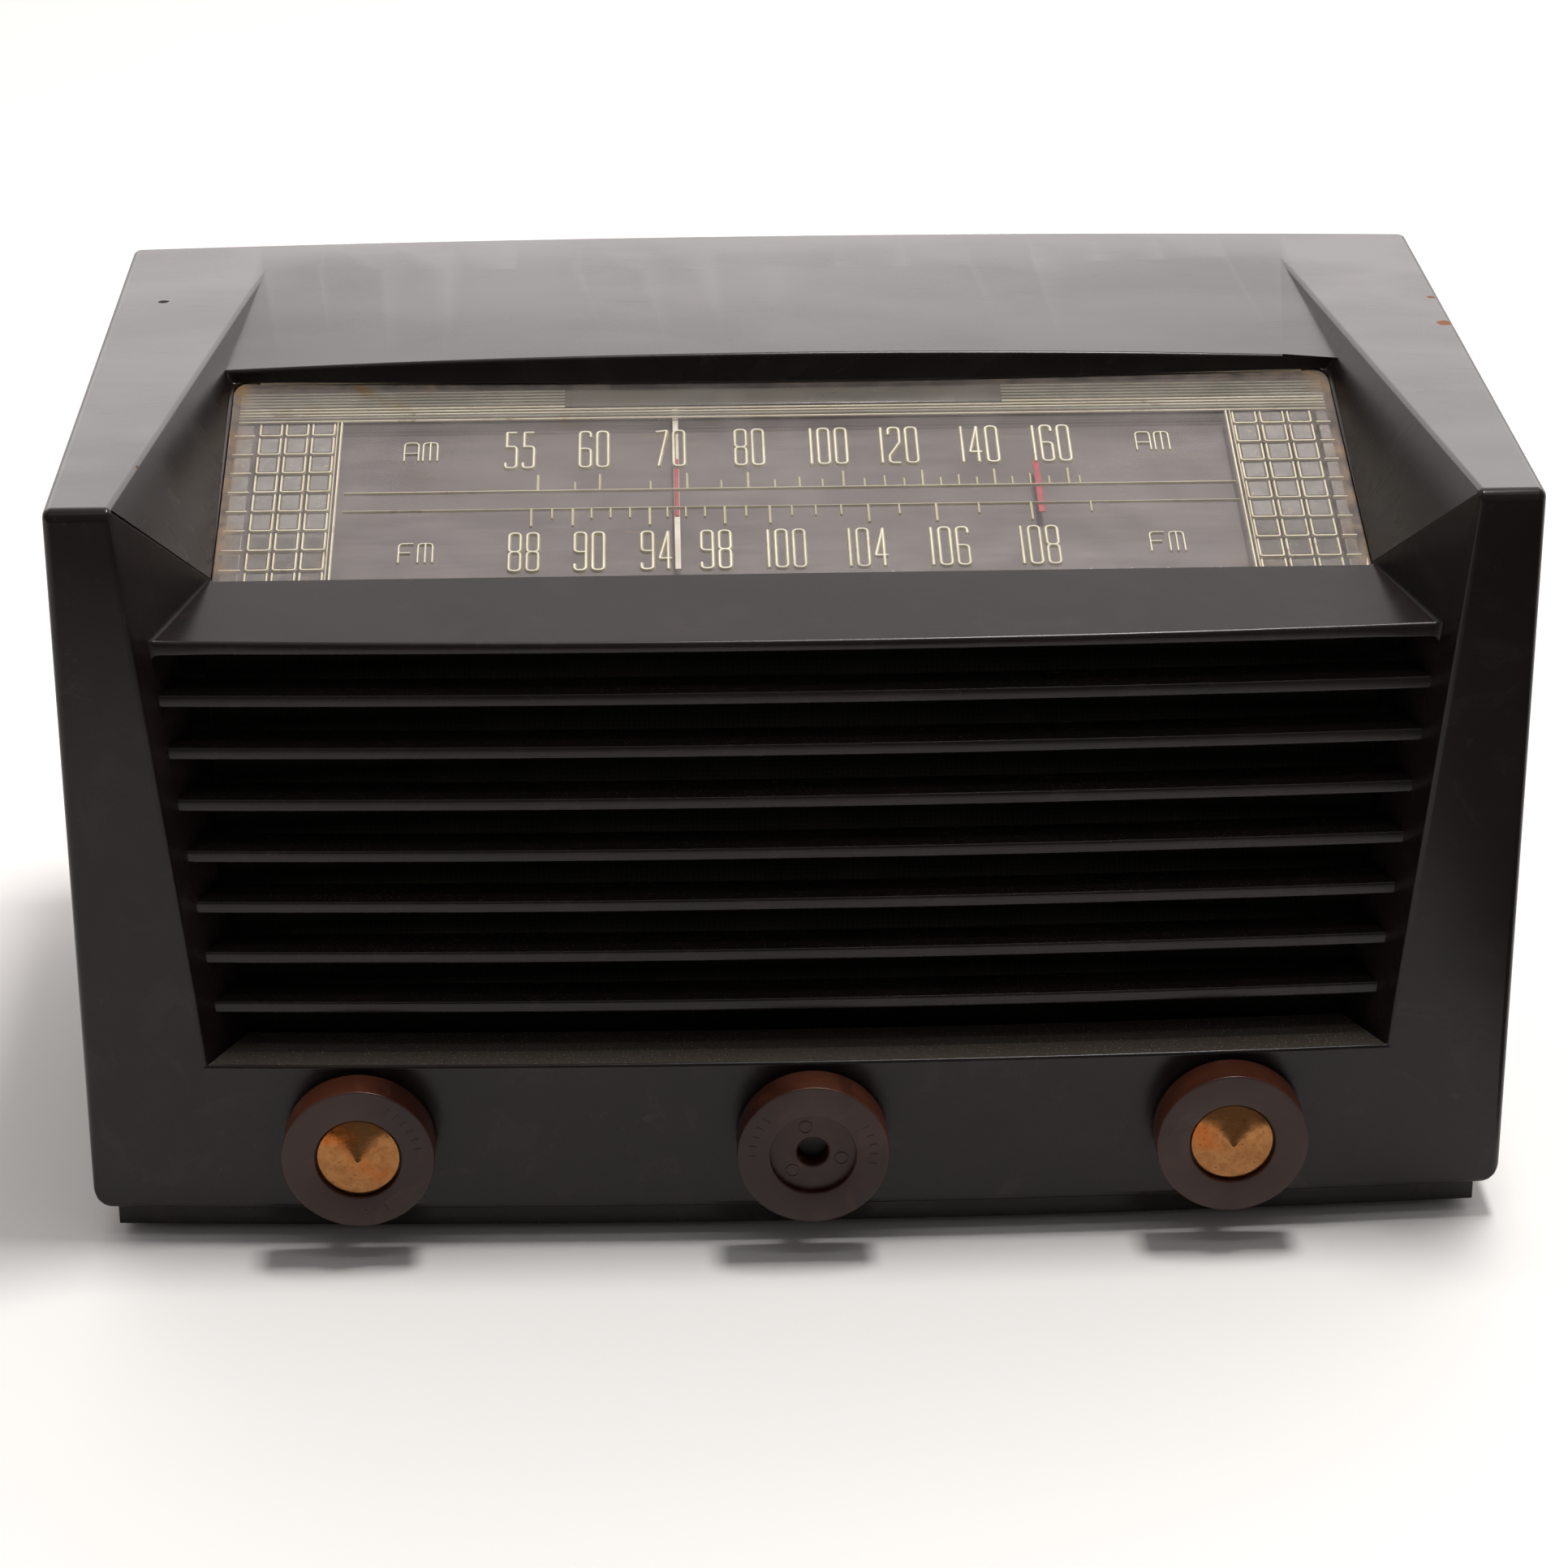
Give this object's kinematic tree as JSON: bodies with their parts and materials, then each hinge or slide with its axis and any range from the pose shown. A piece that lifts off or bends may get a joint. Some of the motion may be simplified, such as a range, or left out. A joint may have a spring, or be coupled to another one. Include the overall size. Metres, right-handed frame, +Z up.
{
  "type": "tabletop radio",
  "caption": "Valve tabletop radio in a dark brown moulded cabinet with raised cheeks, a sloping dial, a louvred front, turning knobs and a cord-driven pointer.",
  "frame": {"origin": "middle of the bounding box at table height, under the feet", "axes": "+X to the radio's right seen from its front, +Y from the front to the back cover, +Z up"},
  "size_m": [0.305, 0.1949, 0.17],
  "materials": {
    "bakelite": "dark brown moulded phenolic, worn semi-gloss, faint lighter mottling on the top",
    "clear_plastic": "clear moulded plastic yellowed with age, engraved on its back",
    "taupe_paint": "taupe-grey satin paint, lightly rusted at the corners",
    "cream_paint": "cream enamel with a length of red on the needle",
    "brass": "tarnished, turned",
    "steel": "plain bright steel, dulled",
    "plated_steel": "dull plated sheet steel",
    "aluminium": "dull, lightly scratched",
    "phenolic": "brown laminated phenolic",
    "glass": "clear glass envelope",
    "paper": "dark felted paper pulp",
    "cloth": "dark brown woven grille cloth",
    "fibreboard": "pressed brown fibreboard",
    "copper": "flat-wound copper wire, varnished",
    "rubber": "black, hardened",
    "cord": "waxed tan dial cord"
  },
  "bodies": {
    "root": {"ac_inlet": "phenolic", "antenna_terminals": "phenolic", "back_cover": "fibreboard", "band_control": "plated_steel", "cabinet_shell": "bakelite", "capacitor_frame": "plated_steel", "capacitor_stator": "aluminium", "chassis": "plated_steel", "converter_socket": "phenolic", "converter_tube": "glass", "detector_socket": "phenolic", "detector_tube": "glass", "dial_backplate": "taupe_paint", "dial_glass": "clear_plastic", "drive_cord": "cord", "filter_capacitor": "aluminium", "first_if_socket": "phenolic", "first_if_tube": "glass", "foot_left_front": "rubber", "foot_left_rear": "rubber", "foot_right_front": "rubber", "foot_right_rear": "rubber", "grille_cloth": "cloth", "if_can_left": "aluminium", "if_can_right": "aluminium", "lamp_holder_left": "brass", "lamp_holder_right": "brass", "loop_antenna": "copper", "output_socket": "phenolic", "output_transformer": "plated_steel", "output_tube": "glass", "pilot_lamp_left": "glass", "pilot_lamp_right": "glass", "pointer_cord": "cord", "pointer_rail": "steel", "rectifier_socket": "phenolic", "rectifier_tube": "glass", "second_if_socket": "phenolic", "second_if_tube": "glass", "speaker_baffle": "fibreboard", "speaker_frame": "plated_steel", "speaker_magnet": "plated_steel", "tuning_bush": "brass", "volume_control": "plated_steel"},
    "volume": {"volume_knob": "bakelite", "volume_knob_insert": "brass", "volume_shaft": "aluminium"},
    "band": {"band_knob": "bakelite", "band_knob_insert": "brass", "band_shaft": "aluminium"},
    "tuning": {"tuning_knob": "bakelite", "tuning_shaft": "steel"},
    "gang": {"capacitor_rotor": "aluminium", "dial_drum": "phenolic", "drum_spring": "steel"},
    "pointer": {"dial_pointer": "cream_paint"},
    "left_pulley": {"cord_pulley_left": "phenolic"},
    "right_pulley": {"cord_pulley_right": "phenolic"},
    "cone": {"speaker_cone": "paper"}
  },
  "joints": [
    {"name": "volume_turn", "type": "hinge", "parent": "root", "child": "volume", "pos_m": [-0.0941, -0.04305, 0.0259], "axis": [0, 1, 0], "range_deg": [-150, 150]},
    {"name": "band_turn", "type": "hinge", "parent": "root", "child": "band", "pos_m": [0.0921, -0.04305, 0.0259], "axis": [0, 1, 0], "range_deg": [-30, 30]},
    {"name": "gang_turn", "type": "hinge", "parent": "root", "child": "gang", "pos_m": [0.02, -0.04305, 0.092], "axis": [0, 1, 0], "range_deg": [-52.3, 127.6]},
    {"name": "tuning_turn", "type": "hinge", "parent": "root", "child": "tuning", "pos_m": [0.0025, -0.04305, 0.0259], "axis": [0, 1, 0], "range_deg": [-596, 1453]},
    {"name": "pointer_slide", "type": "slide", "parent": "root", "child": "pointer", "axis": [1, 0, 0], "range_m": [-0.0343, 0.0837]},
    {"name": "left_pulley_turn", "type": "hinge", "parent": "root", "child": "left_pulley", "pos_m": [-0.1095, -0.04305, 0.1435], "axis": [0, 1, 0], "range_deg": [-328, 800]},
    {"name": "right_pulley_turn", "type": "hinge", "parent": "root", "child": "right_pulley", "pos_m": [0.1095, -0.04305, 0.1435], "axis": [0, 1, 0], "range_deg": [-328, 800]},
    {"name": "cone_travel", "type": "slide", "parent": "root", "child": "cone", "axis": [0, 1, 0], "range_m": [-0.001, 0.001], "stiffness_N_per_m": 150}
  ],
  "couplings": [
    {"joint": "tuning_turn", "follows": "gang_turn", "ratio": 11.382},
    {"joint": "pointer_slide", "follows": "gang_turn", "m_per_rad": 0.037561},
    {"joint": "left_pulley_turn", "follows": "gang_turn", "ratio": 6.2601},
    {"joint": "right_pulley_turn", "follows": "gang_turn", "ratio": 6.2601}
  ]
}
